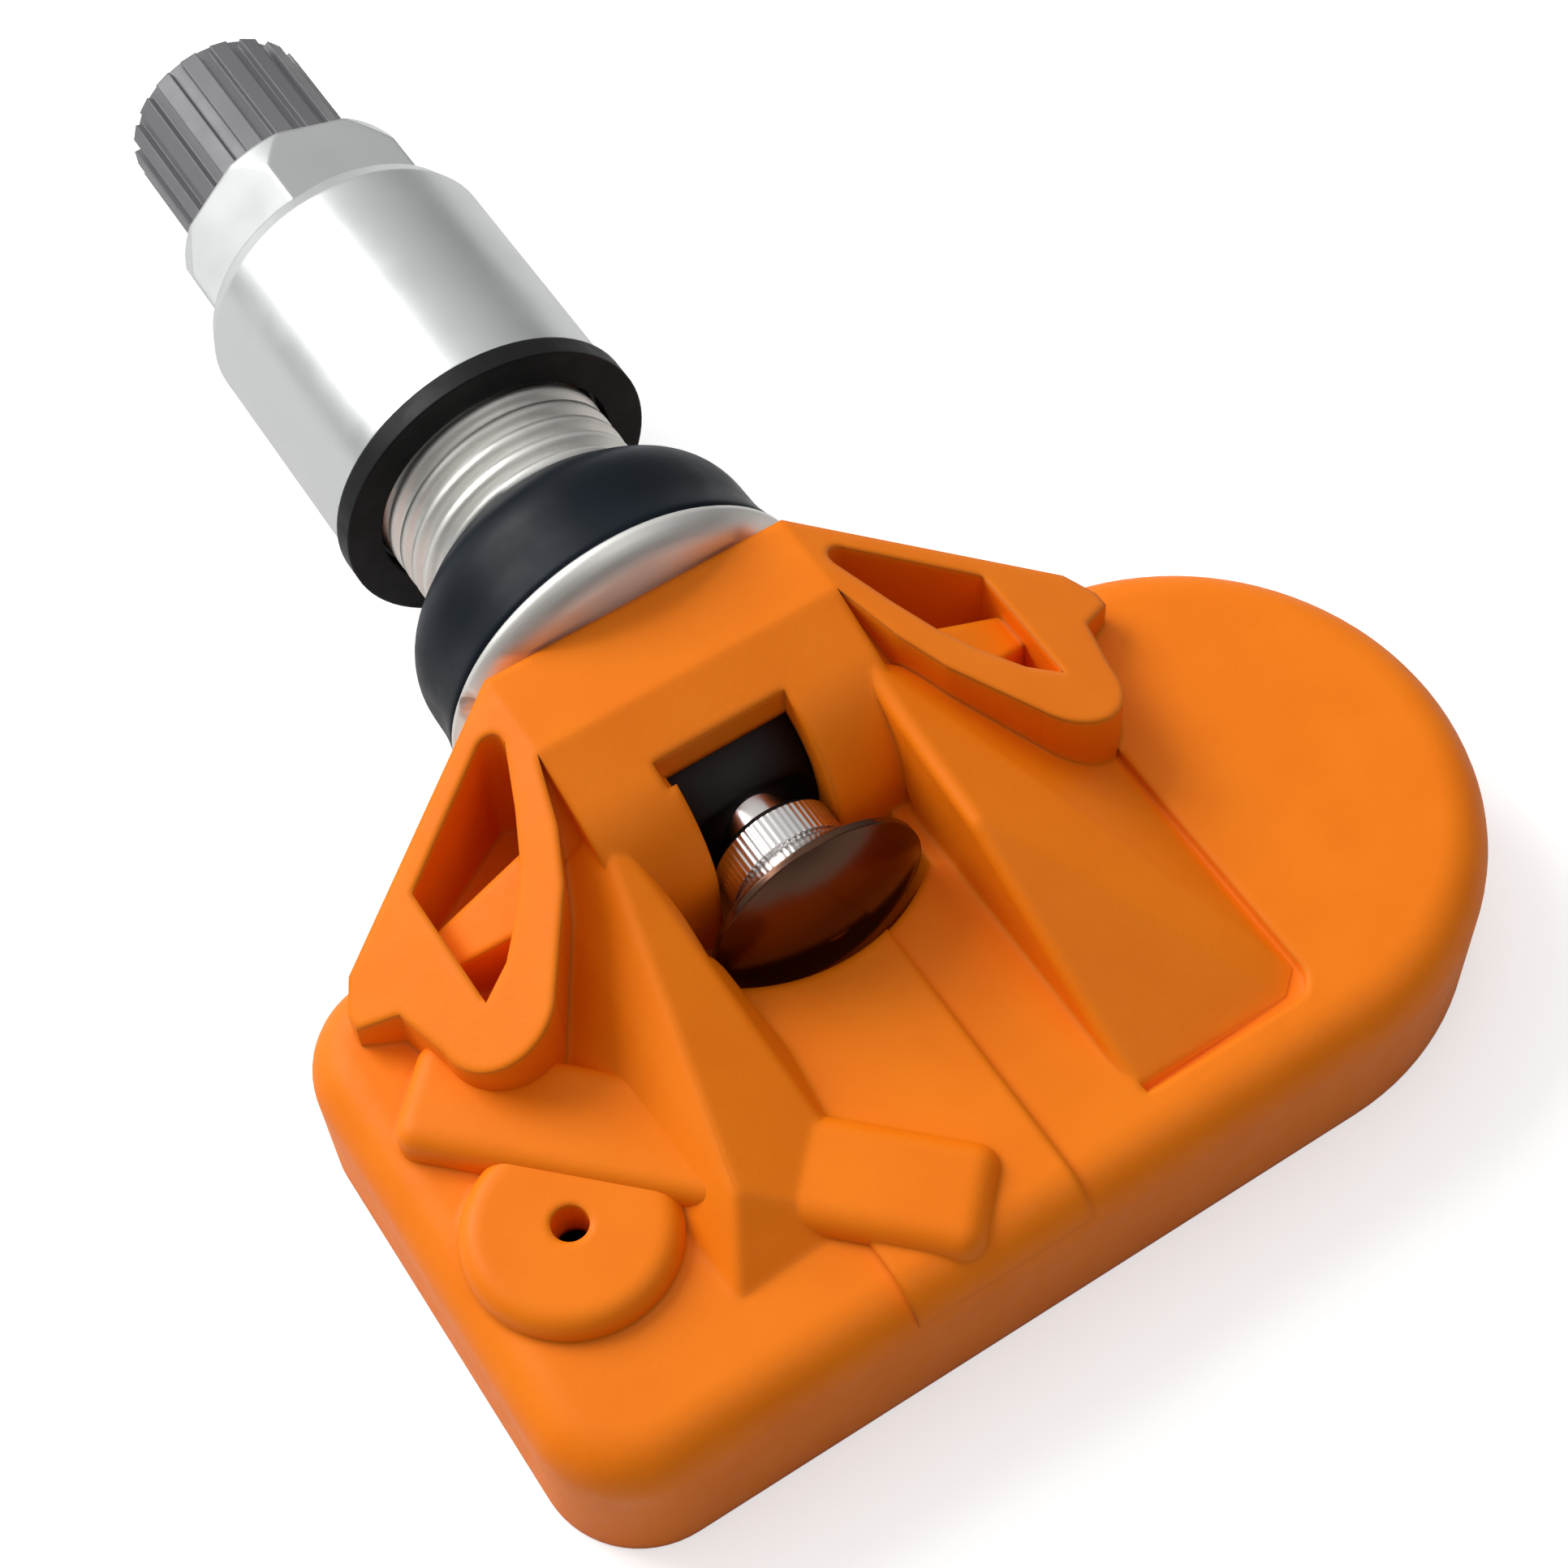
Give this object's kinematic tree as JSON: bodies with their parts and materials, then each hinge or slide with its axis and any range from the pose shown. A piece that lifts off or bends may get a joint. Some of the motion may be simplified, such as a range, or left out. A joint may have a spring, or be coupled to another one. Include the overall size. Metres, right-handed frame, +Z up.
{
  "type": "tyre pressure sensor",
  "caption": "Wheel-mounted tyre pressure sensor: flat moulded housing with a bracket that holds a tilting clamp-in metal valve with collar nut and ribbed cap.",
  "frame": {"origin": "on the flat underside of the housing, straight below the middle of the valve's tilt axis", "axes": "+X along the housing toward its round battery end, +Y along the valve toward its cap, +Z up, away from the underside"},
  "size_m": [0.0482, 0.0681, 0.0174],
  "materials": {
    "housing": "fine grain moulding",
    "board": "solder-mask satin",
    "cell_steel": "satin",
    "tab_nickel": "satin",
    "chip_black": "matte moulding",
    "seal_rubber": "matte",
    "can_metal": "satin",
    "winding": "enamelled wire",
    "ferrite": "matte",
    "ceramic": "matte ceramic",
    "alloy": "satin turned",
    "brass": "satin",
    "spring_steel": "satin",
    "grommet_rubber": "satin",
    "cap_plastic": "satin",
    "screw_steel": "polished"
  },
  "bodies": {
    "housing": {"housing": "housing", "base_cover": "housing", "circuit_board": "board", "battery_cell": "cell_steel", "positive_tab": "tab_nickel", "negative_tab": "tab_nickel", "pressure_sensor": "chip_black", "port_seal": "seal_rubber", "controller_chip": "chip_black", "crystal": "can_metal", "wake_up_coil": "winding", "coil_core": "ferrite", "transmit_antenna": "tab_nickel", "capacitors": "ceramic"},
    "valve": {"valve_stem": "alloy", "core_body": "brass", "core_seal": "seal_rubber", "core_spring": "spring_steel", "stem_grommet": "grommet_rubber", "retaining_screw": "screw_steel"},
    "washer": {"nut_washer": "seal_rubber"},
    "nut": {"collar_nut": "alloy"},
    "cap_liner": {"cap_seal": "seal_rubber"},
    "cap": {"valve_cap": "cap_plastic"},
    "core_pin": {"core_pin": "brass"}
  },
  "joints": [
    {"name": "sensor_tilt", "type": "hinge", "parent": "housing", "child": "valve", "pos_m": [0, 0, 0.0088], "axis": [-1, 0, 0], "range_deg": [0, 25]},
    {"name": "nut_travel", "type": "slide", "parent": "valve", "child": "washer", "axis": [0, -1, 0], "range_m": [0, 0.0043]},
    {"name": "nut_spin", "type": "hinge", "parent": "washer", "child": "nut", "pos_m": [0, 0.02455, 0.0088], "axis": [0, -1, 0], "range_deg": [0, 1584]},
    {"name": "cap_travel", "type": "slide", "parent": "valve", "child": "cap_liner", "axis": [0, 1, 0], "range_m": [0, 0.00545]},
    {"name": "cap_spin", "type": "hinge", "parent": "cap_liner", "child": "cap", "pos_m": [0, 0.0391, 0.0088], "axis": [0, 1, 0], "range_deg": [0, 2520]},
    {"name": "core_press", "type": "slide", "parent": "valve", "child": "core_pin", "axis": [0, -1, 0], "range_m": [0, 0.001], "stiffness_N_per_m": 300, "springref_m": -0.003}
  ],
  "couplings": [
    {"joint": "nut_spin", "follows": "nut_travel", "rad_per_m": 6283.2},
    {"joint": "cap_spin", "follows": "cap_travel", "rad_per_m": 7913.3}
  ]
}
